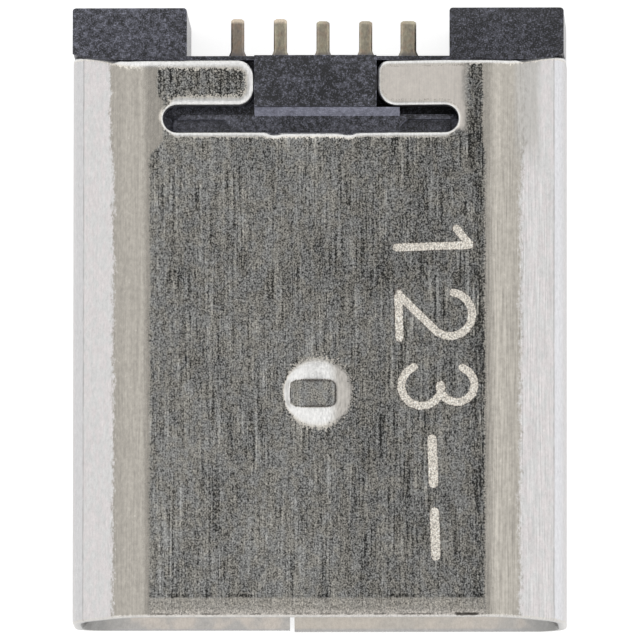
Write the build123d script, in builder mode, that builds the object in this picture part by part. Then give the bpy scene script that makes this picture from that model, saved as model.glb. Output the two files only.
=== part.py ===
from build123d import *
from math import cos, radians, sin
import os

# Socket of the five-contact micro kind, lying on its wide face with the narrow face up.
# +X is to the right, +Y runs from the mouth to the tails, +Z is up; sizes are in millimetres.

# Shell, one strip of nickel-plated steel folded into a tube
shell_width = 7.5
shell_height = 2.45
shell_length = 8.49
sheet = 0.25
shoulder_setback = 1.205
shoulder_angle = 45
shoulder_radius = 0.9
floor_radius = 0.5
side_overrun = 0.14
overrun_start = 0.85
overrun_end = 0.25

# Seam on the wide face, with one dovetail that locks its two edges
seam_x = -0.44
seam_gap = 0.07
dovetail_from_mouth = 3.2
dovetail_length = 1.1
dovetail_flare = 0.15
dovetail_depth = 0.7

# Slot and tabs at the rear of the narrow face
tab_depth = 0.683
slot_width = 0.417
slot_left_margin = 0.197
slot_right_margin = 0.41
left_tab_end = -0.971
right_tab_end = 0.898
left_tab_radius = 0.25
right_tab_rear_radius = 0.17
right_tab_front_radius = 0.3
fold_margin = 0.305
tab_press_angle = 5

# Small pressed lip on the slot's front edge
lip_left = -0.6
lip_right = 0.403
lip_notch = 0.12
lip_notch_depth = 0.03
lip_run = 0.12
lip_drop = 0.04

# Detent pressed into the narrow face
detent_from_mouth = 3.41
detent_diameter = 1.0
detent_floor_length = 0.7
detent_floor_width = 0.41
detent_depth = 0.14

# Housing, one black moulding
fit_gap = 0.03
seat_gap = 0.02
core_from_mouth = 5.3
core_setback = 0.545
core_edge_drop = 0.95
core_corner = 0.25
pad_drop = 0.13
pad_ledge = 0.19
pad_radius = 0.17
recess_drop = 0.35
recess_gap = 0.12
centre_width = 2.57
centre_shift = -0.045
boss_gap = 0.045
boss_below_top = 0.02
ramp_run = 0.12
ramp_below_top = 0.15
ramp_gap = 0.02
web = 0.06
foot_depth = 0.735
foot_width = 1.71
foot_inset = 0.045
foot_lift = 0.05
foot_below_top = 0.14
foot_radius = 0.05

# Tongue and the five stamped contacts let into its upper face
tongue_from_mouth = 0.95
tongue_bottom = 0.6
tongue_thickness = 0.6
tongue_margin = 0.4
tongue_nose = 0.15
contact_count = 5
contact_pitch = 0.65
contact_shift = 0.045
contact_width = 0.3
contact_thickness = 0.15
contact_from_nose = 0.3
contact_gap = 0.01
tail_width = 0.2
wide_tail_width = 0.24
tail_start = 0.5
tail_inset = 0.03
short_tail_step = 0.035
long_tails = 2
tail_radius = 0.04

# Places worked out from the sizes above
half_width = shell_width / 2
half_narrow = half_width - shoulder_setback
total_length = shell_length + seat_gap + web + foot_depth
mouth_y = -total_length / 2
shell_rear_y = mouth_y + shell_length
side_rear_y = shell_rear_y + side_overrun
web_front_y = shell_rear_y + seat_gap
web_rear_y = web_front_y + web
foot_rear_y = web_rear_y + foot_depth
slot_rear_y = shell_rear_y - tab_depth
slot_front_y = slot_rear_y - slot_width
slot_left_x = -half_narrow + slot_left_margin
slot_right_x = half_narrow - slot_right_margin
slot_middle_x = (slot_left_x + slot_right_x) / 2
fold_x = half_narrow - fold_margin
detent_y = mouth_y + detent_from_mouth
inner_top = shell_height - sheet
core_top = inner_top - fit_gap
core_bottom = sheet + fit_gap
core_half = half_width - sheet - fit_gap
core_front_y = mouth_y + core_from_mouth
tongue_front_y = mouth_y + tongue_from_mouth
tongue_top = tongue_bottom + tongue_thickness
tongue_width = (contact_count - 1) * contact_pitch + contact_width + 2 * tongue_margin
beyond = 1.0

# Straight part between the two shoulder bends
turn = radians(shoulder_angle)
shoulder_reach = shoulder_radius * (sin(turn) + 1 - cos(turn))
slope_length = (shoulder_setback - shoulder_reach) / cos(turn)

with BuildPart() as shell:
    # Cross-section of the folded tube
    with BuildSketch(Plane.XZ.offset(-side_rear_y)):
        with BuildLine():
            top = Line((0, shell_height), (half_narrow, shell_height))
            upper = JernArc(top @ 1, (1, 0), shoulder_radius, -shoulder_angle)
            slope = PolarLine(upper @ 1, slope_length, -shoulder_angle)
            lower = JernArc(slope @ 1, slope % 1, shoulder_radius, shoulder_angle - 90)
            side = Line(lower @ 1, (half_width, floor_radius))
            corner = JernArc(side @ 1, (0, -1), floor_radius, -90)
            Line(corner @ 1, (0, 0))
            mirror(about=Plane.YZ)
        make_face()
        offset(amount=-sheet, mode=Mode.SUBTRACT)
    extrude(amount=shell_length + side_overrun)

    # The rear edge stands further back on the two side walls than on the wide faces
    with BuildSketch(Plane.XY):
        with BuildLine():
            Polyline(
                (0, shell_rear_y),
                (half_width - overrun_start, shell_rear_y),
                (half_width - overrun_end, side_rear_y),
                (half_width - overrun_end, side_rear_y + beyond),
                (0, side_rear_y + beyond),
            )
            mirror(about=Plane.YZ)
        make_face()
    extrude(amount=shell_height, mode=Mode.SUBTRACT)

    # Seam with its dovetail, through the wide face only
    dovetail_front_y = mouth_y + dovetail_from_mouth
    dovetail_rear_y = dovetail_front_y + dovetail_length
    with BuildSketch(Plane.XY):
        with BuildLine():
            Polyline(
                (seam_x, mouth_y - beyond),
                (seam_x, dovetail_front_y),
                (seam_x + dovetail_depth, dovetail_front_y - dovetail_flare),
                (seam_x + dovetail_depth, dovetail_rear_y + dovetail_flare),
                (seam_x, dovetail_rear_y),
                (seam_x, side_rear_y + beyond),
            )
        trace(line_width=seam_gap)
    extrude(amount=sheet, mode=Mode.SUBTRACT)

    # Slot across the narrow face, open to the rear from the left tab to the fold line
    with BuildSketch(Plane.XY.offset(inner_top)):
        with Locations((slot_middle_x, slot_front_y + slot_width / 2)):
            SlotOverall(slot_right_x - slot_left_x, slot_width)
        with Locations((left_tab_end, slot_rear_y - slot_width / 2)):
            Rectangle(slot_right_x - slot_width / 2 - left_tab_end, slot_width / 2, align=Align.MIN)
        with Locations((left_tab_end, slot_rear_y)):
            Rectangle(fold_x - left_tab_end, tab_depth + beyond, align=Align.MIN)
        with Locations((lip_left - lip_notch, slot_front_y - lip_notch_depth)):
            Rectangle(lip_notch, slot_width / 2, align=Align.MIN)
        with Locations((lip_right, slot_front_y - lip_notch_depth)):
            Rectangle(lip_notch, slot_width / 2, align=Align.MIN)
    extrude(amount=sheet, mode=Mode.SUBTRACT)
    upright = shell.edges().filter_by(Axis.Z)
    left_tab_edges = upright.filter_by_position(Axis.X, left_tab_end, left_tab_end)
    fillet(left_tab_edges, left_tab_radius)

    # The lip between the two notches slopes down towards the slot
    with BuildSketch(Plane.YZ.offset(lip_left)):
        with BuildLine():
            Polyline(
                (slot_front_y - lip_run, shell_height),
                (slot_front_y, shell_height),
                (slot_front_y, shell_height - lip_drop),
                close=True,
            )
        make_face()
    extrude(amount=lip_right - lip_left, mode=Mode.SUBTRACT)

    # The right tab is pressed in about the fold line
    press = radians(tab_press_angle)
    tab_plane = Plane(
        origin=(fold_x, slot_rear_y, shell_height),
        x_dir=(cos(press), 0, sin(press)),
        z_dir=(-sin(press), 0, cos(press)),
    )
    with BuildSketch(tab_plane):
        Rectangle(fold_x - right_tab_end, tab_depth, align=(Align.MAX, Align.MIN))
        fillet(vertices().group_by(Axis.Y)[0].sort_by(Axis.X).first, right_tab_front_radius)
        fillet(vertices().group_by(Axis.Y)[-1].sort_by(Axis.X).first, right_tab_rear_radius)
    extrude(amount=-sheet)

    # Detent, the same sunk form outside and standing proud inside
    for face_z, change in ((inner_top, Mode.ADD), (shell_height, Mode.SUBTRACT)):
        with BuildSketch(Plane.XY.offset(face_z)):
            with Locations((0, detent_y)):
                Circle(detent_diameter / 2)
        with BuildSketch(Plane.XY.offset(face_z - detent_depth)):
            with Locations((0, detent_y)):
                SlotOverall(detent_floor_length, detent_floor_width)
        loft(mode=change)

# Boss edges follow the two tab ends
boss_left_x = left_tab_end + boss_gap
boss_right_x = right_tab_end - boss_gap
boss_front_y = slot_rear_y - ramp_gap
centre_left_x = centre_shift - centre_width / 2
centre_right_x = centre_shift + centre_width / 2
core_right_x = half_narrow - core_setback
foot_outer_x = half_width - foot_inset
foot_inner_x = foot_outer_x - foot_width

# Corners of a contact seen from above, grown all round by the given gap
def contact_corners(middle_x, narrow, tip_y, gap):
    wide_x = contact_width / 2 + gap
    narrow_x = narrow / 2 + gap
    nose_y = tongue_front_y + contact_from_nose - gap
    step_y = core_front_y + tail_start + gap
    return (
        (middle_x - wide_x, nose_y),
        (middle_x + wide_x, nose_y),
        (middle_x + wide_x, step_y),
        (middle_x + narrow_x, step_y),
        (middle_x + narrow_x, tip_y),
        (middle_x - narrow_x, tip_y),
        (middle_x - narrow_x, step_y),
        (middle_x - wide_x, step_y),
    )


contact_x = []
contact_tail = []
for number in range(contact_count):
    contact_x.append(contact_shift + (number - (contact_count - 1) / 2) * contact_pitch)
    contact_tail.append(wide_tail_width if number == contact_count - 1 else tail_width)

with BuildPart() as housing:
    # Core that fills the rear of the shell
    with BuildSketch(Plane.XZ.offset(-web_front_y)):
        with BuildLine():
            Polyline(
                (0, core_bottom),
                (core_half - core_corner, core_bottom),
                (core_half, core_bottom + core_corner),
                (core_half, core_top - core_edge_drop),
                (core_right_x, core_top),
                (0, core_top),
            )
            mirror(about=Plane.YZ)
        make_face()
    extrude(amount=web_front_y - core_front_y)

    # Web across the shell's rear edge and the two feet, which step back beside the side walls
    with BuildSketch(Plane.XY.offset(foot_lift)):
        with BuildLine():
            Polyline(
                (0, web_front_y),
                (half_width - overrun_start, web_front_y),
                (half_width - overrun_end, side_rear_y + seat_gap),
                (foot_outer_x, side_rear_y + seat_gap),
                (foot_outer_x, foot_rear_y),
                (foot_inner_x, foot_rear_y),
                (foot_inner_x, web_rear_y),
                (0, web_rear_y),
            )
            mirror(about=Plane.YZ)
        make_face()
    extrude(amount=shell_height - foot_below_top - foot_lift)
    foot_corners = housing.edges().filter_by(Axis.Z).group_by(Axis.Y)[-1]
    fillet(foot_corners, foot_radius)

    # Shallow pads at both sides of the centre of the core's upper face
    pad_rear_y = slot_rear_y - pad_ledge
    with BuildSketch(Plane.XY.offset(core_top)):
        with Locations((centre_left_x, pad_rear_y)):
            Rectangle(core_right_x, pad_rear_y - core_front_y, align=Align.MAX)
        with Locations((centre_right_x, pad_rear_y)):
            Rectangle(core_right_x, pad_rear_y - core_front_y, align=(Align.MIN, Align.MAX))
        inner_corners = vertices().group_by(Axis.Y)[-1].sort_by(Axis.X)[1:3]
        fillet(inner_corners, pad_radius)
    extrude(amount=-pad_drop, mode=Mode.SUBTRACT)

    # Recess under each tab
    recess_front_y = slot_rear_y - recess_gap
    with BuildSketch(Plane.XY.offset(core_top)):
        with Locations((boss_left_x, recess_front_y)):
            Rectangle(core_right_x, web_front_y - recess_front_y, align=(Align.MAX, Align.MIN))
        with Locations((centre_right_x, recess_front_y)):
            Rectangle(core_right_x, web_front_y - recess_front_y, align=Align.MIN)
    extrude(amount=-recess_drop, mode=Mode.SUBTRACT)
    with BuildSketch(Plane.XY.offset(core_top)):
        with Locations((boss_right_x, boss_front_y)):
            Rectangle(centre_right_x - boss_right_x, web_front_y - boss_front_y, align=Align.MIN)
    extrude(amount=-recess_drop, mode=Mode.SUBTRACT)

    # Ramp in front of the boss, and the boss that fills the gap between the tabs
    with BuildSketch(Plane.YZ.offset(boss_left_x)):
        with BuildLine():
            Polyline(
                (boss_front_y - ramp_run, core_top),
                (boss_front_y, shell_height - ramp_below_top),
                (boss_front_y, core_top),
                close=True,
            )
        make_face()
    extrude(amount=centre_right_x - boss_left_x)
    with BuildSketch(Plane.XY.offset(core_top - recess_drop)):
        with Locations((boss_left_x, boss_front_y)):
            Rectangle(boss_right_x - boss_left_x, web_rear_y - boss_front_y, align=Align.MIN)
    extrude(amount=shell_height - boss_below_top - core_top + recess_drop)

    # Tongue that the plug slides over
    with BuildSketch(Plane.XZ.offset(-core_front_y)):
        with Locations((0, tongue_bottom)):
            Rectangle(tongue_width, tongue_thickness, align=(Align.CENTER, Align.MIN))
    extrude(amount=core_front_y - tongue_front_y)
    nose_edges = housing.edges().group_by(Axis.Y)[0]
    chamfer(nose_edges, tongue_nose)

    # Channels for the contacts, open along the tongue
    with BuildSketch(Plane.XY.offset(tongue_top - contact_thickness - contact_gap)):
        for middle_x, narrow in zip(contact_x, contact_tail):
            with BuildLine():
                Polyline(*contact_corners(middle_x, narrow, foot_rear_y, contact_gap), close=True)
            make_face()
    extrude(amount=contact_thickness + 2 * contact_gap, mode=Mode.SUBTRACT)

os.makedirs("parts", exist_ok=True)
shell.part.label = "shell"
export_step(shell.part, "parts/shell.step")
housing.part.label = "housing"
export_step(housing.part, "parts/housing.step")

# Each contact is a flat strip, wide on the tongue and narrow where it leaves the housing
for number in range(contact_count):
    tip_y = foot_rear_y - tail_inset
    if number >= long_tails:
        tip_y = tip_y - short_tail_step
    with BuildPart() as contact:
        with BuildSketch(Plane.XY.offset(tongue_top - contact_thickness)):
            with BuildLine():
                corners = contact_corners(contact_x[number], contact_tail[number], tip_y, 0)
                Polyline(*corners, close=True)
            make_face()
        extrude(amount=contact_thickness)
        tip_edges = contact.edges().filter_by(Axis.Z).group_by(Axis.Y)[-1]
        fillet(tip_edges, tail_radius)
    name = f"contact_{number + 1}"
    contact.part.label = name
    export_step(contact.part, f"parts/{name}.step")
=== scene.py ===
import math

import bmesh
import bpy
import numpy as np
from mathutils import Matrix, Vector
from mathutils.geometry import delaunay_2d_cdt


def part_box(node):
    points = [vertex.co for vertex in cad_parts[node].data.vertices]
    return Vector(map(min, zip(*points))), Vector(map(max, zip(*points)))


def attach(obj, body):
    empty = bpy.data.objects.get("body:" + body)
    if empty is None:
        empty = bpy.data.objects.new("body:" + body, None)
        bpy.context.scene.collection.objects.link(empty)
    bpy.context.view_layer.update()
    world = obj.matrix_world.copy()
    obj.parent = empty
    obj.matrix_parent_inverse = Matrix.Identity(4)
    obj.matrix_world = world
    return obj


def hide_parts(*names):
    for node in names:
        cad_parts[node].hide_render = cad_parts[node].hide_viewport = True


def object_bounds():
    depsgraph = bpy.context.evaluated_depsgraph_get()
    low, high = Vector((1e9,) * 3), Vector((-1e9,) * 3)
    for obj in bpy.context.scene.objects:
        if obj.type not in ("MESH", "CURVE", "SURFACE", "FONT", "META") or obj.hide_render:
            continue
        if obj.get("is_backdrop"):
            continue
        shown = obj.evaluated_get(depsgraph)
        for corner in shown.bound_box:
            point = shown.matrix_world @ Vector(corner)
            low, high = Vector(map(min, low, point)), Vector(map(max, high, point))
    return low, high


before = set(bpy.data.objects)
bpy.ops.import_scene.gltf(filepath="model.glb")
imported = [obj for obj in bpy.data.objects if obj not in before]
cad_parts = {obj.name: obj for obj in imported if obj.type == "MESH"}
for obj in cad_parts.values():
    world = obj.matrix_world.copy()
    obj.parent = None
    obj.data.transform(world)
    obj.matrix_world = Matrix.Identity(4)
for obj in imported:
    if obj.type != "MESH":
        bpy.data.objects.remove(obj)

cad_low, cad_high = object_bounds()
mm = 0.001

# Steel shell. One strip of nickel-plated steel, blanked flat with its slot, tabs and dovetail,
# then folded into a tube round two wide shoulders and two tight floor corners. Its flats keep
# the grain of the rolled strip, and the punch leaves every free edge rolled over.
shell_low, shell_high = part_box("shell")
half_width = shell_high[0] / mm
height = shell_high[2] / mm
mouth_y = shell_low[1] / mm
side_rear_y = shell_high[1] / mm
sheet = 0.25
side_overrun = 0.14
overrun_from = 0.9
overrun_to = 0.05
shell_rear_y = side_rear_y - side_overrun

shoulder_setback = 1.205
shoulder_radius = 0.9
shoulder_turn = math.radians(45)
floor_radius = 0.5
half_narrow = half_width - shoulder_setback
shoulder_reach = shoulder_radius * (math.sin(shoulder_turn) + 1 - math.cos(shoulder_turn))
slope_run = (shoulder_setback - shoulder_reach) / math.cos(shoulder_turn)
shoulder_drop = shoulder_radius * (math.sin(shoulder_turn) + 1 - math.cos(shoulder_turn))
side_run = height - shoulder_drop - slope_run * math.sin(shoulder_turn) - floor_radius

# Half of the strip from the middle of the narrow face outwards, as (length, turn) of each stretch
stretches = [
    (half_narrow, 0.0),
    (shoulder_radius * shoulder_turn, shoulder_turn),
    (slope_run, 0.0),
    (shoulder_radius * (math.pi / 2 - shoulder_turn), math.pi / 2 - shoulder_turn),
    (side_run, 0.0),
    (floor_radius * math.pi / 2, math.pi / 2),
    (2 * half_width, 0.0),
]
floor_start = sum(length for length, turn in stretches[:-1])
floor_half = half_width - floor_radius


def fold(along):
    """Place and outward normal, in the XZ plane, of points that far along the strip's outside."""
    reach = np.abs(along)
    side = np.where(along < 0, -1.0, 1.0)
    x = np.zeros_like(reach)
    z = np.full_like(reach, height)
    heading = np.zeros_like(reach)
    start = 0.0
    turned = 0.0
    for length, turn in stretches:
        part = np.clip(reach - start, 0, length)
        if turn:
            bend = turn / length
            x += (np.sin(turned + bend * part) - math.sin(turned)) / bend
            z += (np.cos(turned + bend * part) - math.cos(turned)) / bend
            heading += bend * part
        else:
            x += part * math.cos(turned)
            z -= part * math.sin(turned)
        start += length
        turned += turn
    return x * side, z, np.sin(heading) * side, np.cos(heading)


def arc(middle, radius, start, end, steps=10):
    """Points of an arc, from one angle to another in degrees."""
    angles = np.radians(np.linspace(start, end, steps + 1))
    return [(middle[0] + radius * math.cos(a), middle[1] + radius * math.sin(a)) for a in angles]


def beside(points, gap):
    """A path that runs beside another one, to the right of its direction if the gap is positive."""
    moved = []
    for index, here in enumerate(points):
        before = points[max(index - 1, 0)]
        after = points[min(index + 1, len(points) - 1)]
        first = Vector(here) - Vector(before) if index else Vector(after) - Vector(here)
        second = Vector(after) - Vector(here) if index < len(points) - 1 else first
        first.normalize()
        second.normalize()
        one = Vector((first.y, -first.x))
        two = Vector((second.y, -second.x))
        middle = (one + two).normalized()
        moved.append(tuple(Vector(here) + middle * gap / max(middle.dot(one), 0.2)))
    return moved


# Seam on the wide face, with its dovetail
seam_x = -0.44
seam_gap = 0.07
dovetail_front = mouth_y + 3.2
dovetail_rear = dovetail_front + 1.1
dovetail_flare = 0.15
dovetail_depth = 0.7
seam = [
    (seam_x, mouth_y),
    (seam_x, dovetail_front),
    (seam_x + dovetail_depth, dovetail_front - dovetail_flare),
    (seam_x + dovetail_depth, dovetail_rear + dovetail_flare),
    (seam_x, dovetail_rear),
    (seam_x, shell_rear_y),
]
right_seam = [(floor_start + floor_half - x, y) for x, y in beside(seam, seam_gap / 2)]
left_seam = [(-floor_start - floor_half - x, y) for x, y in beside(seam, -seam_gap / 2)]

# Slot and tabs at the rear of the narrow face, with the small lip on the slot's front edge
slot_width = 0.417
slot_rear_y = shell_rear_y - 0.683
slot_front_y = slot_rear_y - slot_width
slot_left = -half_narrow + 0.197
slot_right = half_narrow - 0.41
slot_end = slot_width / 2
slot_middle_y = slot_front_y + slot_end
left_tab = -0.971
left_corner = 0.25
right_tab = 0.898
rear_corner = 0.17
front_corner = 0.3
lip_left = -0.6
lip_right = 0.403
notch = 0.12
notch_y = slot_front_y - 0.03
slot_outline = (
    arc((right_tab + rear_corner, shell_rear_y - rear_corner), rear_corner, 90, 180)
    + arc((right_tab + front_corner, slot_rear_y + front_corner), front_corner, 180, 270)
    + arc((slot_right - slot_end, slot_middle_y), slot_end, 90, -90, 18)
    + [(lip_right + notch, slot_front_y), (lip_right + notch, notch_y)]
    + [(lip_right, notch_y), (lip_right, slot_front_y)]
    + [(lip_left, slot_front_y), (lip_left, notch_y)]
    + [(lip_left - notch, notch_y), (lip_left - notch, slot_front_y)]
    + arc((slot_left + slot_end, slot_middle_y), slot_end, 270, 90, 18)
    + arc((left_tab - left_corner, slot_rear_y + left_corner), left_corner, -90, 0)
    + arc((left_tab - left_corner, shell_rear_y - left_corner), left_corner, 0, 90)
)


def rear_edge(start, end):
    """The strip's rear edge between two places along it; it stands further back on the side walls."""
    along = np.arange(start, end, -0.06)
    x = np.abs(fold(along)[0])
    ramp = np.clip((x - half_width + overrun_from) / (overrun_from - overrun_to), 0, 1)
    back = side_overrun * ramp * ramp * (3 - 2 * ramp)
    return list(zip(along, shell_rear_y + back))


outline = (
    [(left_seam[0][0], mouth_y), (right_seam[0][0], mouth_y)]
    + right_seam[1:-1]
    + rear_edge(right_seam[-1][0], right_tab + rear_corner)
    + slot_outline
    + rear_edge(left_tab - left_corner, left_seam[-1][0])
    + left_seam[:0:-1]
)


def spread(points, step, closed=False):
    """The same path with points no further apart than the step."""
    path = []
    ends = list(points[1:]) + ([points[0]] if closed else [])
    for here, there in zip(points, ends):
        count = math.ceil(math.dist(here, there) / step - 1e-6)
        for part in range(count):
            share = part / count
            path.append((here[0] + (there[0] - here[0]) * share, here[1] + (there[1] - here[1]) * share))
    return np.array(path if closed else path + [points[-1]])


def to_path(points, starts, ends):
    """Distance of each point to the nearest of many straight pieces."""
    best = np.full(len(points), 1e9)
    for first in range(0, len(points), 2000):
        some = points[first:first + 2000, None, :]
        run = ends - starts
        size = np.maximum((run ** 2).sum(1), 1e-12)
        share = np.clip(((some - starts) * run).sum(2) / size, 0, 1)
        near = starts + share[..., None] * run
        best[first:first + 2000] = np.sqrt(((some - near) ** 2).sum(2)).min(1)
    return best


def inside(points, loop):
    """Whether each point lies within the closed loop."""
    result = np.zeros(len(points), bool)
    after = np.roll(loop, -1, 0)
    for (x0, y0), (x1, y1) in zip(loop, after):
        if y0 != y1:
            crosses = (y0 > points[:, 1]) != (y1 > points[:, 1])
            at = x0 + (points[:, 1] - y0) * (x1 - x0) / (y1 - y0)
            result ^= crosses & (points[:, 0] < at)
    return result


rim = spread(outline, 0.06, closed=True)
rim_after = np.roll(rim, -1, 0)

# Numbers and two short bars, marked by a laser on the narrow face and read from the mouth's left
stroke = 0.12
bar_stroke = 0.145
mark_x = 1.125
mark_y = mouth_y + 6.08
mark_step = 1.11
mark_wide = 0.79 - stroke
mark_tall = 1.235 - stroke
mark_drift = math.radians(1.85)
upper = 0.27
lower = 0.31
one = [(0.14, mark_tall - 0.2), (0.4, mark_tall), (0.4, 0.0)]
two = arc((mark_wide / 2, mark_tall - mark_wide / 2), mark_wide / 2, 170, -38) + [(0, 0), (mark_wide, 0)]
three = arc((0.3, mark_tall - upper), upper, 160, -90) + arc((0.3, lower), lower, 90, -160)
bar = [(0.01, 0.445), (mark_wide + 0.01, 0.445)]
strokes = []
for place, shape in enumerate([one, two, three, bar, bar]):
    read = Vector((math.sin(mark_drift), -math.cos(mark_drift)))
    rise = Vector((math.cos(mark_drift), math.sin(mark_drift)))
    corner = Vector((mark_x, mark_y)) + rise * stroke / 2 + read * (stroke / 2 + place * mark_step)
    strokes.append([tuple(corner + read * u + rise * v) for u, v in shape])
half_strokes = [stroke / 2] * 3 + [bar_stroke / 2] * 2

# Detent, a round dish with a long flat floor that sits a little left of its middle
detent_y = mouth_y + 3.41
detent_radius = 0.51
detent_depth = 0.075
detent_floor = (0.352, 0.21)
detent_shift = -0.066


def detent_share(x, y):
    """0 on the detent's floor and 1 at its rim, for points of the narrow face."""
    across = x - detent_shift
    ahead = y - detent_y
    reach = np.maximum(np.hypot(across, ahead), 1e-6)
    cosine = across / reach
    sine = ahead / reach
    inner = (np.abs(cosine) / detent_floor[0]) ** 5 + (np.abs(sine) / detent_floor[1]) ** 5
    inner = inner ** (-1 / 5)
    lean = -detent_shift * cosine
    outer = lean + np.sqrt(detent_radius ** 2 - detent_shift ** 2 + lean ** 2)
    return (reach - inner) / (outer - inner)


# Lead-in along the mouth, and how far the left half of the wide face stands back from the right
lead_length = 0.25
lead_depth = 0.13
flap_setback = 0.022

# Points of the blank: beside its edges, along the marks, over the detent, and a grid for the rest
blank = [rim]
heading = rim_after - rim
heading /= np.hypot(heading[:, 0], heading[:, 1])[:, None]
inward = np.stack([-heading[:, 1], heading[:, 0]], 1)
inward = inward + np.roll(inward, 1, 0)
inward /= np.hypot(inward[:, 0], inward[:, 1])[:, None]
for depth in (0.012, 0.028, 0.048, 0.072, 0.1, 0.135):
    ring = rim + inward * depth
    blank.append(ring[to_path(ring, rim, rim_after) > 0.8 * depth])
mark_blur = 0.012
for line, half in zip(strokes, half_strokes):
    path = spread(line, 0.03)
    for gap in (-half - mark_blur, mark_blur - half, 0.0, half - mark_blur, half + mark_blur):
        blank.append(np.array(beside([tuple(point) for point in path], gap)))
    for tip in (path[0], path[-1]):
        for radius in (half - mark_blur, half + mark_blur):
            blank.append(np.array(arc(tip, radius, 0, 330, 11)))
around = np.radians(np.arange(0, 360, 6))
for share in (-0.5, -0.18, -0.1, -0.03, 0.04, 0.11, 0.2, 0.3, 0.4, 0.5, 0.6, 0.7, 0.8, 0.9, 1.0, 1.1, 1.25):
    reach = np.linspace(0.02, 0.8, 400)
    for angle in around:
        ray_x = detent_shift + reach * math.cos(angle)
        ray_y = detent_y + reach * math.sin(angle)
        hit = np.argmin(np.abs(detent_share(ray_x, ray_y) - share))
        blank.append(np.array([(ray_x[hit], ray_y[hit])]))
columns = []
start = 0.0
for length, turn in stretches[:-1]:
    step = 0.045 if turn else 0.13
    count = math.ceil(length / step)
    columns += [start + length * part / count for part in range(count)]
    start += length
columns += list(np.arange(floor_start, floor_start + 2 * floor_half, 0.15))
columns = [-column for column in columns[:0:-1]] + columns
rows = np.arange(mouth_y + 0.1, side_rear_y, 0.13)
grid = np.array([(column, row) for column in columns for row in rows])
grid = grid[np.abs(detent_share(grid[:, 0], grid[:, 1])) > 1.15]
grid = grid[inside(grid, rim)]
grid = grid[to_path(grid, rim, rim_after) > 0.15]
blank.append(grid)
# Two rows behind the mouth, where the lead-in of its inner edge ends
for row in (lead_length - 0.03, lead_length + 0.03):
    places = np.arange(left_seam[0][0] + 0.15, right_seam[0][0] - 0.15, 0.08)
    blank.append(np.stack([places, np.full(len(places), mouth_y + row)], 1))
blank = np.concatenate(blank)

# Near twins are dropped, so that no two points share a cell of this size
cell = 0.011
taken = set()
kept = []
for index, point in enumerate(blank):
    key = (round(point[0] / cell), round(point[1] / cell))
    if index < len(rim) or key not in taken:
        kept.append(index)
        taken.add(key)
blank = blank[kept]
keep = inside(blank, rim)
keep[:len(rim)] = True
blank = blank[keep]
loop_edges = [(index, (index + 1) % len(rim)) for index in range(len(rim))]
flat, _, triangles, _, _, _ = delaunay_2d_cdt([Vector(p) for p in blank], loop_edges, [], 1, 1e-6)
flat = np.array([tuple(point) for point in flat])

edge_gap = to_path(flat, rim, rim_after)
etched = np.zeros(len(flat))
for line, half in zip(strokes, half_strokes):
    beyond = to_path(flat, np.array(line[:-1]), np.array(line[1:])) - half
    etched = np.maximum(etched, 1 - np.clip(beyond / mark_blur / 2 + 0.5, 0, 1))
along, y = flat[:, 0], flat[:, 1]
x, z, normal_x, normal_z = fold(along)

# Rolled edges, deeper round the slot than at the mouth and the seam
near_slot = np.clip((y - slot_front_y + 0.35) / 0.2, 0, 1)
near_slot = near_slot * np.clip((half_narrow + 0.75 - np.abs(along)) / 0.7, 0, 1)
near_mouth = np.clip((mouth_y + 0.2 - y) / 0.1, 0, 1)
behind = np.clip((y - slot_middle_y) / 0.05 + 0.5, 0, 1)
ends = np.maximum(slot_left + 0.22 - along, along - slot_right + 0.22)
ends = np.clip(ends / 0.1, 0, 1) * np.clip(1 - (np.abs(y - slot_middle_y) - 0.22) / 0.1, 0, 1)
left_side = np.clip(0.5 - along / 0.2, 0, 1)
tab_width = 0.06 + 0.065 * left_side
edge_width = 0.055 + near_slot * (0.023 + (tab_width - 0.078) * behind) * (1 - ends) - 0.02 * ends
edge_width = edge_width - 0.023 * near_mouth
roll_width = 0.05 + 0.05 * near_slot * left_side * behind
roll_depth = 0.025 + 0.025 * near_slot * left_side * behind
rolled = np.clip(1 - edge_gap / roll_width, 0, 1)
sunk = roll_depth * (1 - np.sqrt(1 - rolled ** 2))

# Pressed forms move both sides of the sheet: the detent, the lip and the right tab
on_top = np.abs(along) < half_narrow
share = np.clip(detent_share(x, y), 0, 1)
eased_share = 0.3 * share * share * (3 - 2 * share) + 0.7 * share
pressed = np.where(on_top, detent_depth * (1 - eased_share), 0)
lip_reach = np.clip((y - slot_front_y + 0.13) / 0.13, 0, 1)
lip_side = np.clip(1.2 - np.abs(x - (lip_left + lip_right) / 2) / 0.62, 0, 1)
lip_side = np.clip(lip_side / 0.2, 0, 1)
lip_zone = on_top & (y < slot_middle_y) & (y > slot_front_y - 0.2)
pressed += np.where(lip_zone, 0.045 * lip_reach ** 2 * lip_side, 0)
fold_x = half_narrow - 0.305
press = math.tan(math.radians(5))
fold_soft = 0.12
past = np.clip(fold_x - x, 0, None)
tab_drop = press * np.where(past < fold_soft, past ** 2 / (2 * fold_soft), past - fold_soft / 2)
tab_zone = np.clip((y - slot_front_y + 0.02) / 0.1, 0, 1)
pressed += np.where(on_top & (x > 0.3) & (y > slot_front_y - 0.02), tab_drop * tab_zone, 0)

# Painted highlight along the sheet's rolled edges and round the detent's rim
rim_highlight = np.clip(1.5 - edge_gap / edge_width, 0, 1)
ring_share = detent_share(x, y)
ring_highlight = np.clip((ring_share + 0.01) / 0.06, 0, 1) * np.clip((1.45 - ring_share) / 0.75, 0, 1)
# Painted shade on the right side of the detent ring, and painted shade in the crease at the edge of its
# floor
ring_shaded_side = np.clip((x - 0.17) / 0.14, 0, 1) * (ring_share > 0.02) * on_top
ring_shaded_side = ring_shaded_side * np.clip((1.35 - ring_share) / 0.4, 0, 1)
painted_highlight = np.maximum(rim_highlight, np.where(on_top, ring_highlight, 0))
ring_shade = np.where(on_top, np.exp(-((ring_share + 0.05) / 0.075) ** 2), 0)

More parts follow.
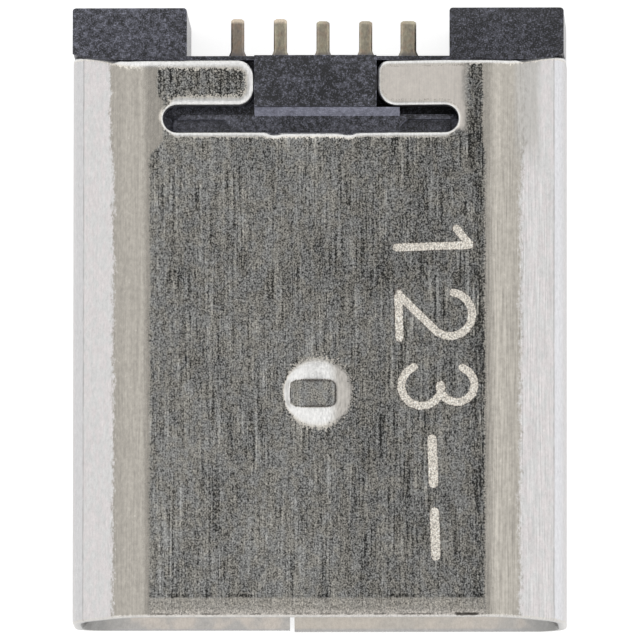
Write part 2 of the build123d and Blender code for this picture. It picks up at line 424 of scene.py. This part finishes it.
setback = flap_setback * np.clip((-along - 4.6) / 1.2, 0, 1) * np.clip(1 - (y - mouth_y) / 0.6, 0, 1)
y = y + setback
# The pressed right tab turns into the light and is painted with a pale reflection, with the slot's right
# end beside it
tab_highlight = np.clip((fold_x + 0.03 - x) / 0.05, 0, 1) * np.clip((y - slot_front_y - 0.02) / 0.05, 0, 1)
tab_highlight = np.where(on_top & (x > 0.5), tab_highlight, 0)
outer = np.stack([x - normal_x * sunk, y, z - normal_z * sunk - pressed], 1)
under_round = 0.02 * np.clip(1 - edge_gap / 0.03, 0, 1) ** 2 * (1 - near_mouth)
lead = np.clip(1 - (y - mouth_y) / lead_length, 0, 1)
depth = sheet - under_round - lead_depth * lead
inner = np.stack([x - normal_x * depth, y, z - normal_z * depth - pressed], 1)

count = len(flat)
faces = []
edge_uses = {}
for a, b, c in triangles:
    area = (flat[b][0] - flat[a][0]) * (flat[c][1] - flat[a][1])
    area -= (flat[c][0] - flat[a][0]) * (flat[b][1] - flat[a][1])
    if area < 0:
        b, c = c, b
    faces.append((a, b, c))
    faces.append((a + count, c + count, b + count))
    for pair in ((a, b), (b, c), (c, a)):
        edge_uses[tuple(sorted(pair))] = None if tuple(sorted(pair)) in edge_uses else pair
free_edges = [pair for pair in edge_uses.values() if pair]
for a, b in free_edges:
    faces.append((b, a, a + count, b + count))
shell_mesh = bpy.data.meshes.new("folded_shell")
shell_mesh.from_pydata([tuple(point) for point in np.concatenate([outer, inner]) * mm], [], faces)
nowhere = np.zeros(len(flat))
for name, above_side, under_side in (
    ("painted_highlight", painted_highlight, rim_highlight),
    ("etched", etched, nowhere),
    ("inside", nowhere, nowhere + 1),
    ("ring_shade", ring_shade, nowhere),
    ("ring_shaded_side", ring_shaded_side, nowhere),
    ("tab_highlight", tab_highlight, nowhere),
    ("along", along, along),
):
    attribute = shell_mesh.attributes.new(name, "FLOAT", "POINT")
    both = np.concatenate([above_side, under_side])
    attribute.data.foreach_set("value", both.astype(np.float32))
shell_mesh.shade_smooth()
sharp = {tuple(sorted((a + count, b + count))) for a, b in free_edges}
for edge in shell_mesh.edges:
    if tuple(sorted(edge.vertices)) in sharp:
        edge.use_edge_sharp = True
folded_shell = bpy.data.objects.new("folded_shell", shell_mesh)
bpy.context.collection.objects.link(folded_shell)


class Value:
    """A shader socket that Python's arithmetic works on, by adding Math nodes."""

    def __init__(self, finish, socket):
        self.finish = finish
        self.socket = socket

    def __add__(self, other):
        return self.finish.math("ADD", self, other)

    def __radd__(self, other):
        return self.finish.math("ADD", other, self)

    def __sub__(self, other):
        return self.finish.math("SUBTRACT", self, other)

    def __rsub__(self, other):
        return self.finish.math("SUBTRACT", other, self)

    def __mul__(self, other):
        return self.finish.math("MULTIPLY", self, other)

    def __rmul__(self, other):
        return self.finish.math("MULTIPLY", other, self)

    def __truediv__(self, other):
        return self.finish.math("DIVIDE", self, other)

    def step(self, low, high):
        """0 below the low value, 1 above the high one, with a soft change between."""
        settings = {"interpolation_type": "SMOOTHSTEP"}
        return self.finish.node("ShaderNodeMapRange", settings, {0: self, 1: low, 2: high})


class Finish:
    """A node tree whose nodes are made one at a time, settings first and then sockets."""

    def __init__(self, owner):
        self.owner = owner
        self.tree = owner
        if not isinstance(owner, bpy.types.NodeTree):
            owner.use_nodes = True
            self.tree = owner.node_tree
        self.tree.nodes.clear()

    def node(self, kind, settings=None, inputs=None, output=0):
        node = self.tree.nodes.new(kind)
        for name, value in (settings or {}).items():
            setattr(node, name, value)
        for name, value in (inputs or {}).items():
            if isinstance(value, Value):
                self.tree.links.new(value.socket, node.inputs[name])
            else:
                node.inputs[name].default_value = value
        return Value(self, node.outputs[output]) if node.outputs else None

    def math(self, operation, first, second=0.0):
        """One Math node on two values."""
        return self.node("ShaderNodeMath", {"operation": operation}, {0: first, 1: second})

    def attribute(self, name):
        """A value that the mesh carries at its points."""
        return self.node("ShaderNodeAttribute", {"attribute_name": name}, output=2)

    def scale_colour(self, colour, share):
        """A colour made lighter or darker by a value."""
        settings = {"operation": "SCALE"}
        return self.node("ShaderNodeVectorMath", settings, {0: colour, 3: share})

    def mix(self, share, first, second):
        """One colour passing into another."""
        return self.node("ShaderNodeMix", {"data_type": "RGBA"}, {0: share, 6: first, 7: second}, 2)

    def noise(self, size, detail=2.0, roughness=0.5, shift=(0, 0, 0)):
        """Noise whose grains have these sizes, in millimetres, along the piece's own X, Y and Z."""
        place = self.node("ShaderNodeTexCoord", output=3)
        scaled = self.node(
            "ShaderNodeMapping", None, {0: place, 1: shift, 3: [1 / (mm * side) for side in size]}
        )
        return self.node(
            "ShaderNodeTexNoise", None, {0: scaled, 2: 1.0, 3: detail, 4: roughness}
        )

    def surface(self, inputs):
        """The finished surface, a Principled shader with these sockets."""
        shader = self.node("ShaderNodeBsdfPrincipled", None, inputs)
        self.node("ShaderNodeOutputMaterial", None, {0: shader})
        return self.owner


def finish_of(name):
    """An empty material of that name, ready for its nodes."""
    return Finish(bpy.data.materials.new(name))


# Nickel plating: worm-like grain drawn out along the rolled strip, with patches of speckle, long
# streaks and a faint change of tint, smoother where the shoulders were bent, which carry painted
# yellowish and pale reflections
steel = finish_of("nickel_plated_steel")
strip = steel.attribute("along")
spread_out = steel.math("ABSOLUTE", strip)
highlight_share = steel.attribute("painted_highlight")
marks = steel.attribute("etched")
inside_face = steel.attribute("inside")
ring_shade_share = steel.attribute("ring_shade")
tab_highlight_share = steel.attribute("tab_highlight")
place = steel.node("ShaderNodeTexCoord", output=3)
back_from_mouth = steel.node("ShaderNodeSeparateXYZ", None, {0: place}, 1) / mm - mouth_y

speck = steel.noise((0.021, 0.023, 0.021), 1.0, 0.5)
worms = steel.noise((0.024, 0.07, 0.024), 1.0, 0.5, (3, 7, 1))
lines = steel.noise((0.022, 0.75, 0.022), 1.0, 0.5, (9, 1, 4))
short_lines = steel.noise((0.03, 0.3, 0.03), 1.0, 0.5, (2, 9, 4))
ribs = steel.noise((0.05, 1.1, 0.05), 0.0, 0.5, (4, 4, 9))
wide_lines = steel.noise((0.1, 3.0, 0.1), 2.0, 0.6, (2, 6, 8))
grains = steel.noise((0.05, 0.085, 0.05), 2.0, 0.6, (4, 2, 7))
patches = steel.noise((0.35, 0.7, 0.35), 2.0, 0.5, (1, 2, 5)).step(0.42, 0.62)
clouds = steel.noise((0.9, 1.4, 0.9), 2.0, 0.5, (5, 5, 2))
tints = steel.noise((0.14, 0.2, 0.14), 1.0, 0.5, (8, 3, 6))
waves = steel.noise((0.3, 0.5, 0.3), 2.0, 0.5, (6, 6, 6))
stains = steel.noise((0.25, 0.8, 0.25), 3.0, 0.6, (7, 9, 2)).step(0.5, 0.75)

# The narrow face's brushed middle, its rough strip by the right shoulder and its fuzzy front end.
# The grain stops short of the slot's left end, where the tab's root was pressed.
at_tabs = back_from_mouth.step(7.0, 7.3)
at_slot = at_tabs * (1 - (back_from_mouth - 0.05 * (waves - 0.5)).step(7.85, 8.0))
on_left = strip.step(0.1, -0.1)
stop = half_narrow - at_tabs * (0.04 + 0.065 * on_left) - 0.09 * at_slot * on_left
flats = 1 - (spread_out - stop + 0.05 * (waves - 0.5) + 0.09 * (speck - 0.5)).step(-0.03, 0.03)
front = 1 - (back_from_mouth + 0.08 * (speck - 0.5)).step(0.27, 0.31)
dashes = 1 - steel.math("ABSOLUTE", back_from_mouth - 0.31 - 0.06 * (waves - 0.5)).step(0.01, 0.04)
rough_strip = (strip - half_narrow).step(-0.28, -0.12) * flats * (1 - front)
ridged = patches * (1 - front)
brushed = 2.3 * (speck - 0.5) + 0.8 * (worms - 0.5)
brushed = brushed + (0.62 + 0.75 * ridged) * (lines - 0.5) + 1.0 * ridged * (ribs - 0.5)
brushed = brushed + 0.45 * (clouds - 0.5) - 0.33 * rough_strip * short_lines.step(0.6, 0.4)
brushed = brushed + 0.34 * front - 0.35 * dashes * waves.step(0.42, 0.62)
# The flats get darker towards the right and lighter towards the mouth
brushed = brushed - 0.1 * strip.step(-0.6, 1.2) + 0.05 * back_from_mouth.step(4.5, 1.0)
from_detent = steel.math("ABSOLUTE", back_from_mouth - (detent_y - mouth_y))
on_floor = 1 - steel.math("ABSOLUTE", strip - detent_shift).step(0.33, 0.36)
on_floor = on_floor * (1 - from_detent.step(0.19, 0.22))
brushed = brushed + 0.2 * on_floor
on_left_tab = back_from_mouth.step(7.75, 7.85) * strip.step(-0.8, -1.0)
brushed = brushed * (1 + 0.2 * on_left_tab) - 0.13 * on_left_tab

# The bent shoulders: a painted yellowish reflection band, then a painted white reflection up to a faint
# crease
on_right = strip.step(-0.1, 0.1)
edge_wave = 0.12 * (waves - 0.5) + 0.1 * (speck - 0.5) + 0.2 * (grains - 0.5) - 0.07 * at_tabs
beige_reflection_band = 1 - (spread_out - half_narrow + edge_wave).step(0.56 - 0.05 * on_right, 0.65 - 0.03 * on_right)
crease = 1 - steel.math("ABSOLUTE", spread_out - 3.82).step(0.008, 0.025)
near_rear = back_from_mouth.step(6.2, 8.0) * on_right
smooth = 0.34 * (grains - 0.5) + 0.15 * (speck - 0.5) + 0.1 * (wide_lines - 0.5)
smooth = smooth + (0.12 + 0.25 * beige_reflection_band) * (lines - 0.5) + 0.25 * beige_reflection_band * (grains - 0.5)
smooth = smooth + 0.5 * on_right * (lines - 0.5) * (1 - near_rear) * (1 - spread_out.step(3.7, 3.8))
smooth = smooth - 0.3 * crease * short_lines.step(0.2, 0.6)

# Painted reflection on the outer bend, paler and bluer on the right than on the left
outermost = spread_out.step(3.8, 3.86) * (1 - spread_out.step(3.95, 4.3))
# Painted reflection colours of the shoulders: white on the slopes, yellowish nearer the flats, a little
# brighter on the right
white = steel.mix(tints.step(0.35, 0.65), (0.695, 0.662, 0.66, 1), (0.66, 0.655, 0.65, 1))
beige_reflection = steel.scale_colour((0.50, 0.47, 0.42), 0.93 + 0.07 * on_right - 0.08 * spread_out.step(2.88, 3.04))
bend = steel.mix(beige_reflection_band, white, beige_reflection)
outer_bend_reflection = steel.mix(on_right, (0.65, 0.645, 0.65, 1), (0.76, 0.76, 0.785, 1))
bend = steel.mix(outermost, bend, outer_bend_reflection)
smudge_end = spread_out + 0.15 * (waves - 0.5)
smudged = strip.step(2.95, 3.1) * (1 - smudge_end.step(3.4, 3.6)) * back_from_mouth.step(6.7, 7.5)
smudge = steel.mix(stains, (0.52, 0.505, 0.48, 1), (0.40, 0.375, 0.345, 1))
bend = steel.mix(0.9 * smudged, bend, smudge)
# Painted highlight where the bend starts beside the flats
bend_start_highlight = 1 - (spread_out - half_narrow).step(0.07, 0.2 + 0.08 * on_right)
bend = steel.scale_colour(bend, (1 + smooth) * (1 + 0.6 * bend_start_highlight))
# The flats' darker tone is partly their matte brushed finish and partly a painted reflection of the dark
# dome overhead
dark_flat_tone = steel.mix(tints.step(0.35, 0.65), (0.306, 0.295, 0.268, 1), (0.292, 0.292, 0.284, 1))
tone = steel.math("MAXIMUM", 1 + 1.7 * brushed, 0.12)
metal = steel.mix(flats, bend, steel.scale_colour(dark_flat_tone, tone))
warm_front = steel.scale_colour((0.298, 0.278, 0.246), tone)
metal = steel.mix(0.7 * front * flats, metal, warm_front)
rubbed = 1 - (back_from_mouth + 0.05 * (speck - 0.5)).step(0.05, 0.15)
rubbed_tone = steel.scale_colour((0.60, 0.56, 0.515), 1 + 1.3 * (speck - 0.5) + 0.6 * brushed)
metal = steel.mix(0.75 * rubbed * flats, metal, rubbed_tone)
# Painted reflection on the pressed right tab
tab_highlight_tone = steel.scale_colour((0.843, 0.79, 0.728), 1 + 0.5 * smooth)
metal = steel.mix(tab_highlight_share, metal, tab_highlight_tone)
tarnished = tab_highlight_share * (1 - steel.math("ABSOLUTE", highlight_share - 0.3).step(0.1, 0.35))
tarnished = tarnished * (speck + 0.5 * waves).step(0.76, 0.86)
metal = steel.mix(0.6 * tarnished, metal, (0.27, 0.22, 0.17, 1))

# Painted highlight along the rolled edges and round the detent, creamier and grainy where it fades and
# duller along the mouth
cream = highlight_share.step(0.95, 0.45)
rim_highlight_tone = steel.mix(cream, (0.84, 0.835, 0.82, 1), (0.74, 0.70, 0.63, 1))
at_mouth = 1 - back_from_mouth.step(0.1, 0.2)
rim_highlight_tone = steel.mix(0.7 * at_mouth, rim_highlight_tone, (0.62, 0.59, 0.55, 1))
# The detent ring's right side is painted in shade
rim_highlight_tone = steel.mix(steel.attribute("ring_shaded_side"), rim_highlight_tone, (0.50, 0.475, 0.44, 1))
rim_highlight_tone = steel.scale_colour(rim_highlight_tone, 1 + 0.9 * smooth + 0.5 * (speck - 0.5) * cream)
ragged = highlight_share + 0.9 * (speck - 0.5) + 0.9 * (grains - 0.5) - 0.25 * at_mouth * waves.step(0.4, 0.6)
ragged = ragged.step(0.28, 0.55)
metal = steel.mix(ragged, metal, rim_highlight_tone)
lip_gap = steel.math("ABSOLUTE", back_from_mouth - 0.04 - 0.03 * (short_lines - 0.5))
broken = (1 - lip_gap.step(0.006, 0.016)) * waves.step(0.5, 0.6) * beige_reflection_band
nick = strip.step(2.06, 2.12) * (1 - strip.step(2.4, 2.48)) * (1 - lip_gap.step(0.016, 0.03))
metal = steel.mix(0.6 * broken + 0.9 * nick, metal, (0.09, 0.08, 0.07, 1))

# The inside, a little yellow, with painted shade in the tube's corners and a painted bluish reflection
# along the mouth's own edge
blots = steel.noise((0.3, 0.3, 0.3), 2.0, 0.5, (3, 3, 3)).step(0.35, 0.65)
yellowing_and_shade = steel.mix(blots, (0.44, 0.425, 0.405, 1), (0.56, 0.51, 0.46, 1))
yellowing_and_shade = steel.mix(strip.step(5.0, 9.0) * 0.7, yellowing_and_shade, (0.525, 0.48, 0.42, 1))
# Painted bluish reflection along the mouth's inner edge
yellowing_and_shade = steel.mix(0.7 * (1 - back_from_mouth.step(0.02, 0.06)), yellowing_and_shade, (0.40, 0.40, 0.41, 1))
# Painted shade in the tube's inner corners
corner = (spread_out + 0.3 * (waves - 0.5)).step(6.35, 5.75)
yellowing_and_shade = steel.mix(corner, yellowing_and_shade, (0.33, 0.325, 0.315, 1))
metal = steel.mix(inside_face, metal, steel.scale_colour(yellowing_and_shade, 1 + smooth))
# Painted shade in the crease at the edge of the detent's floor
metal = steel.mix(0.85 * ring_shade_share, metal, (0.06, 0.05, 0.045, 1))
outlined = marks.step(0.02, 0.3) * (1 - marks.step(0.35, 0.8))
metal = steel.mix(0.5 * outlined, metal, (0.15, 0.12, 0.10, 1))
laser = marks + 0.5 * (speck - 0.5)
pale = steel.scale_colour((0.76, 0.715, 0.645), 1 + 2.2 * (speck - 0.5) + 0.8 * (worms - 0.5))
metal = steel.mix(laser.step(0.35, 0.75), metal, pale)
matte = 0.27 + 0.08 * flats + 0.2 * marks - 0.05 * highlight_share
grained = brushed * flats * (1 - tab_highlight_share)
relief = steel.node("ShaderNodeBump", None, {0: 0.6, 1: 0.003 * mm, 3: grained})
steel.surface({"Base Color": metal, "Metallic": 1.0, "Roughness": matte, "Normal": relief})

folded_shell.data.materials.append(steel.owner)
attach(folded_shell, "root")
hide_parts("shell")


# Housing. One moulding in charcoal glass-filled plastic, pushed in from the rear: a block behind
# the slot, two feet that close the tube's rear corners, and a tongue for the contacts.
ease_width = 0.014
weld_within = 0.0002
cut_height = 2.0
eased_from = math.radians(30)


def eased(node, name, reshape):
    """A copy of a CAD node as one closed mesh, reshaped and with its edges eased."""
    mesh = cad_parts[node].data.copy()
    mesh.name = name
    work = bmesh.new()
    work.from_mesh(mesh)
    rims = work.faces.layers.float.new("rim")
    bmesh.ops.remove_doubles(work, verts=work.verts, dist=weld_within * mm)
    bmesh.ops.dissolve_limit(
        work, angle_limit=math.radians(1), verts=work.verts, edges=work.edges, delimit={"NORMAL"}
    )
    level = (0, 0, cut_height * mm)
    geometry = work.verts[:] + work.edges[:] + work.faces[:]
    bmesh.ops.bisect_plane(work, geom=geometry, plane_co=level, plane_no=(0, 0, 1))
    for vertex in work.verts:
        vertex.co = reshape(vertex.co / mm) * mm
    edges = [e for e in work.edges if len(e.link_faces) == 2 and e.calc_face_angle() > eased_from]
    made = bmesh.ops.bevel(
        work, geom=edges, offset=ease_width * mm, segments=2, profile=0.5, affect="EDGES",
        clamp_overlap=True
    )
    for face in made["faces"]:
        face[rims] = 1.0
    bmesh.ops.triangulate(work, faces=work.faces)
    work.to_mesh(mesh)
    work.free()
    mesh.materials.clear()
    for attribute in [a.name for a in mesh.attributes if a.name == "custom_normal"]:
        mesh.attributes.remove(mesh.attributes[attribute])
    mesh.shade_smooth()
    mesh.set_sharp_from_angle(angle=math.radians(40))
    piece = bpy.data.objects.new(name, mesh)
    bpy.context.collection.objects.link(piece)
    return piece


# Faces of the plain moulding, each with the place it is moved to here
block_from_y = 2.99
block_left = (-0.926, -0.967)
block_right = (0.853, 0.889)
ledge_top = (1.82, 2.09)
feet_front = 3.998
feet_front_seen = (3.885, 3.95)
feet_side_seen = (3.53, 3.705)
feet_corner_from = 3.6
feet_top_from = 2.2
spread_from = 3.5
spread_run = 0.205
spread_by = 0.025


def close_to_tabs(point):
    """The block's sides moved up to the two tabs, and the feet's top over the shell's shoulders."""
    for before, after in (block_left, block_right):
        if point.y > block_from_y and abs(point.x - before) < 0.004:
            point.x = after
    if point.x < 0 and abs(point.z - ledge_top[0]) < 0.01:
        point.z = ledge_top[1]
    if point.z > feet_top_from and abs(point.y - feet_front) < 0.003:
        corner = abs(point.x) > feet_corner_from
        point.y = feet_front_seen[corner]
        point.x = math.copysign(feet_side_seen[corner], point.x)
    if abs(point.x) > spread_from:
        further = spread_by * (abs(point.x) - spread_from) / spread_run
        point.x += math.copysign(further, point.x)
    return point


housing = eased("housing", "moulded_housing", close_to_tabs)
plastic = finish_of("charcoal_plastic")
normal = plastic.node("ShaderNodeNewGeometry", output=1)
facing_x = plastic.math("ABSOLUTE", plastic.node("ShaderNodeSeparateXYZ", None, {0: normal}))
facing_y = plastic.math("ABSOLUTE", plastic.node("ShaderNodeSeparateXYZ", None, {0: normal}, 1))
fine = plastic.noise((0.022, 0.022, 0.022), 2.0, 0.6, (7, 2, 1))
mottle = plastic.noise((0.07, 0.07, 0.07), 3.0, 0.6)
cloudy = plastic.noise((0.5, 0.5, 0.5), 2.0, 0.5, (4, 4, 4))
flow = plastic.noise((0.12, 0.12, 0.12), 2.0, 0.6, (1, 6, 3))
wisps = 1 - plastic.math("ABSOLUTE", flow - 0.5).step(0.0, 0.045)
# Painted sheen on slanting faces such as the ramp
sloped_sheen = facing_y.step(0.3, 0.5) * (1 - facing_y.step(0.85, 0.95))
speckle = fine.step(0.52, 0.75)
place = plastic.node("ShaderNodeTexCoord", output=3)
# Painted light and shade: the plastic is painted paler on the left and darker towards the right
painted_shade_rightwards = (plastic.node("ShaderNodeSeparateXYZ", None, {0: place}) / mm).step(-2.4, -0.8)
ahead = plastic.node("ShaderNodeSeparateXYZ", None, {0: place}, 1) / mm
# Painted light on the plastic seen low in the slot, in front of the block
painted_light_low_ledge = 1 - ahead.step(3.0, 3.02)
shade = 1.05 - 0.6 * painted_shade_rightwards + 0.75 * painted_light_low_ledge
blotch = plastic.noise((0.13, 0.13, 0.13), 3.0, 0.65, (2, 5, 9))
shade = shade + 4.5 * (fine - 0.5) + 4.5 * (mottle - 0.5) + 3.8 * (blotch - 0.5)
shade = shade + 2.0 * (cloudy - 0.5) + 2.4 * speckle
shade = shade + 2.4 * wisps * mottle.step(0.4, 0.6) * (1 - 0.5 * painted_shade_rightwards)
# Painted highlight on the eased edges
shade = shade + 3.5 * plastic.attribute("rim") * mottle.step(0.42, 0.62)
# Painted sheen on the slanting faces
shade = plastic.math("MAXIMUM", shade + (3.3 + 4.2 * mottle) * sloped_sheen, 0.2)
charcoal = plastic.scale_colour((0.045, 0.046, 0.058), shade)
rough = 0.42 - 0.27 * facing_x.step(0.85, 0.97) + 0.2 * (fine - 0.5)
dimples = plastic.node(
    "ShaderNodeBump", None, {0: 0.7, 1: 0.006 * mm, 3: 0.6 * mottle + 0.4 * fine}
)
plastic.surface({"Base Color": charcoal, "Roughness": rough, "Normal": dimples})
housing.data.materials.append(plastic.owner)
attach(housing, "root")
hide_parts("housing")

# Contacts. Five strips of plated copper alloy, stamped as a comb and moulded into the tongue. Each
# narrows behind the blade and flares again where its tail leaves the plastic for the board.
tail_root = 3.9175
blade_end = 1.1475
strip_tree = bpy.data.node_groups.new("contact_strip", "GeometryNodeTree")
sockets = {}
for socket_name in ("Middle", "Level", "Nose", "Tip", "Blade", "Tail", "Thickness"):
    sockets[socket_name] = strip_tree.interface.new_socket(
        socket_name, in_out="INPUT", socket_type="NodeSocketFloat"
    )
metal_socket = strip_tree.interface.new_socket(
    "Finish", in_out="INPUT", socket_type="NodeSocketMaterial"
)
strip_tree.interface.new_socket("Strip", in_out="OUTPUT", socket_type="NodeSocketGeometry")
sweep = Finish(strip_tree)
given = sweep.node("NodeGroupInput")
middle, level, nose, tip_end, blade, tail, thickness, coat = [
    Value(sweep, output) for output in given.socket.node.outputs[:8]
]
start = sweep.node("ShaderNodeCombineXYZ", None, {1: nose})
end = sweep.node("ShaderNodeCombineXYZ", None, {1: tip_end})
spine = sweep.node("GeometryNodeCurvePrimitiveLine", None, {"Start": start, "End": end})
spine = sweep.node("GeometryNodeResampleCurve", None, {"Curve": spine, "Count": 300})
section = sweep.node("GeometryNodeCurvePrimitiveQuadrilateral", None, {"Width": 1.0, "Height": 1.0})
section = sweep.node(
    "GeometryNodeFilletCurve", {"mode": "POLY"}, {"Curve": section, "Count": 4, "Radius": 0.2}
)
swept = sweep.node(
    "GeometryNodeCurveToMesh", None, {"Curve": spine, "Profile Curve": section, "Fill Caps": True}
)
spot = sweep.node("GeometryNodeInputPosition")
across, ahead, up = [sweep.node("ShaderNodeSeparateXYZ", None, {0: spot}, i) for i in range(3)]
narrowing = ahead.step(blade_end - 0.03, blade_end + 0.03)
flare = 0.075 * ahead.step(4.14, 4.03) * sweep.math("GREATER_THAN", ahead, tail_root + 0.001)
width = blade + (tail - blade) * narrowing + flare
nearest = sweep.math("MINIMUM", ahead - nose, tip_end - ahead)
turned = 1 - sweep.math("MINIMUM", nearest / 0.04, 1.0)
shrink = 0.08 * (1 - sweep.math("SQRT", 1.0001 - turned * turned))
moved = sweep.node(
    "ShaderNodeCombineXYZ",
    None,
    {0: middle + across * (width - shrink), 1: ahead, 2: level + up * (thickness - shrink)},
)
moved = sweep.node("ShaderNodeVectorMath", {"operation": "SCALE"}, {0: moved, 3: mm})
shaped = sweep.node("GeometryNodeSetPosition", None, {"Geometry": swept, "Position": moved})
shaped = sweep.node("GeometryNodeSetShadeSmooth", None, {"Geometry": shaped})
shaped = sweep.node("GeometryNodeRealizeInstances", None, {"Geometry": shaped})
shaped = sweep.node("GeometryNodeSetMaterial", None, {"Geometry": shaped, "Material": coat})
sweep.node("NodeGroupOutput", None, {0: shaped})

alloy = finish_of("contact_alloy")
fine = alloy.noise((0.024, 0.05, 0.024), 2.0, 0.6)
tarnish = alloy.noise((0.1, 0.16, 0.1), 3.0, 0.6, (3, 1, 2)).step(0.35, 0.65)
rust = alloy.noise((0.12, 0.12, 0.12), 3.0, 0.6, (8, 8, 2)).step(0.45, 0.65)
soot = alloy.noise((0.11, 0.2, 0.11), 2.0, 0.6, (5, 1, 9)).step(0.5, 0.7)
place = alloy.node("ShaderNodeTexCoord", output=3)
tail_x = alloy.node("ShaderNodeSeparateXYZ", None, {0: place}) / mm
tail_y = alloy.node("ShaderNodeSeparateXYZ", None, {0: place}, 1) / mm
in_mouth = tail_y.step(0.6, 0.0)
left_pair = tail_x.step(-0.2, -0.4)
olive = alloy.mix(tarnish, (0.51, 0.47, 0.355, 1), (0.43, 0.39, 0.31, 1))
olive = alloy.mix(tail_x.step(-0.9, -1.1), olive, (0.36, 0.31, 0.255, 1))
olive = alloy.mix(0.45 * rust, olive, (0.45, 0.31, 0.235, 1))
olive = alloy.mix(0.55 * soot, olive, (0.23, 0.215, 0.215, 1))
# Painted highlight on each tail's rounded tip, larger on the left pair
tip_highlight = alloy.mix(left_pair, (0.52, 0.48, 0.34, 1), (0.76, 0.65, 0.52, 1))
tip_highlight_from = 4.57 - 0.02 * left_pair
olive = alloy.mix((0.35 + 0.45 * left_pair) * (tail_y - tip_highlight_from).step(-0.015, 0.015), olive, tip_highlight)
olive = alloy.mix(0.6 * (1 - tail_y.step(4.06, 4.13)) * (1 - in_mouth), olive, (0.17, 0.165, 0.18, 1))
olive = alloy.mix(in_mouth, olive, (0.83, 0.66, 0.36, 1))
olive = alloy.scale_colour(olive, 1 + 0.8 * (fine - 0.5))
ripple = alloy.node("ShaderNodeBump", None, {0: 0.6, 1: 0.005 * mm, 3: fine})
alloy.surface({"Base Color": olive, "Metallic": 1.0, "Roughness": 0.36, "Normal": ripple})

for number in range(1, 6):
    node_name = f"contact_{number}"
    low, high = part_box(node_name)
    sizes = {
        "Middle": (low[0] + high[0]) / 2 / mm,
        "Level": (low[2] + high[2]) / 2 / mm,
        "Nose": low[1] / mm,
        "Tip": high[1] / mm,
        "Blade": (high[0] - low[0]) / mm,
        "Tail": 0.24 if number == 5 else 0.2,
        "Thickness": (high[2] - low[2]) / mm,
    }
    holder = bpy.data.objects.new("strip_maker", bpy.data.meshes.new("strip_maker"))
    bpy.context.collection.objects.link(holder)
    maker = holder.modifiers.new("strip", "NODES")
    maker.node_group = strip_tree
    for socket_name, value in sizes.items():
        maker[sockets[socket_name].identifier] = value
    maker[metal_socket.identifier] = alloy.owner
    settled = holder.evaluated_get(bpy.context.evaluated_depsgraph_get())
    strip_mesh = bpy.data.meshes.new_from_object(settled)
    bpy.data.objects.remove(holder)
    contact = bpy.data.objects.new(f"contact_strip_{number}", strip_mesh)
    bpy.context.collection.objects.link(contact)
    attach(contact, "root")
    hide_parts(node_name)

# Floor. A white sheet under the part, lit like paper; it keeps the part's soft shadow.
floor_mesh = bpy.data.meshes.new("white_sheet")
reach = 1.5
under = -0.02 * mm
corners = [(-reach, -reach), (reach, -reach), (reach, reach), (-reach, reach)]
floor_mesh.from_pydata([(x, y, under) for x, y in corners], [], [(0, 1, 2, 3)])
sheet_under = bpy.data.objects.new("white_sheet", floor_mesh)
bpy.context.collection.objects.link(sheet_under)
paper = finish_of("white_paper")
rays = [paper.node("ShaderNodeLightPath", output=index) for index in (0, 3, 6)]
seen = 0.75 * rays[0] + 0.5 * paper.math("MINIMUM", rays[1] + rays[2], 1.0)
lit = paper.node("ShaderNodeBsdfDiffuse", None, {0: (0.55, 0.55, 0.55, 1)})
glow = paper.node("ShaderNodeEmission", None, {0: (1, 1, 1, 1), 1: seen})
both = paper.node("ShaderNodeAddShader", None, {0: lit, 1: glow})
paper.node("ShaderNodeOutputMaterial", None, {0: both})
floor_mesh.materials.append(paper.owner)
sheet_under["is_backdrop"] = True

# Light. An even white dome whose top is darker, as under a camera between two soft boxes.
world = bpy.data.worlds.new("soft_dome")
bpy.context.scene.world = world
dome = Finish(world)
direction = dome.node("ShaderNodeTexCoord", output=0)
rise = dome.node("ShaderNodeSeparateXYZ", None, {0: direction}, 2)
overhead = rise.step(0.925, 0.975)
dome_colour = dome.mix(overhead, (1.0, 1.0, 1.0, 1), (0.27, 0.27, 0.27, 1))
air = dome.node("ShaderNodeBackground", None, {0: dome_colour, 1: 1.0})
dome.node("ShaderNodeOutputWorld", None, {0: air})

# Camera. It looks almost straight down on the narrow face, leaning a little to the mouth.
tilt = math.radians(6.3)
lean = math.radians(1.5)
target = Vector((0.038, -0.134, height)) * mm
picture_scale = 65.95
lens = 1500.0
sensor = 36.0
field = 640 / picture_scale * mm
distance = field / sensor * lens
right = Vector((math.cos(lean), 0, -math.sin(lean)))
back = Vector((math.sin(lean) * math.cos(tilt), -math.sin(tilt), math.cos(lean) * math.cos(tilt)))
roll = Matrix.Rotation(0.4 * math.sin(tilt) * math.sin(lean), 3, back)
right = roll @ right
above = back.cross(right)
camera_data = bpy.data.cameras.new("camera")
camera_data.lens = lens
camera_data.sensor_width = sensor
camera_data.clip_start = distance / 10
camera_data.clip_end = distance * 10
camera = bpy.data.objects.new("camera", camera_data)
bpy.context.collection.objects.link(camera)
turn = Matrix((right, above, back)).transposed().to_4x4()
camera.matrix_world = Matrix.Translation(target + back * distance) @ turn
bpy.context.scene.camera = camera
bpy.context.scene.view_settings.view_transform = "Standard"

seen_low, seen_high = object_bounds()
sizes = [list(cad_low), list(cad_high), list(seen_low), list(seen_high)]
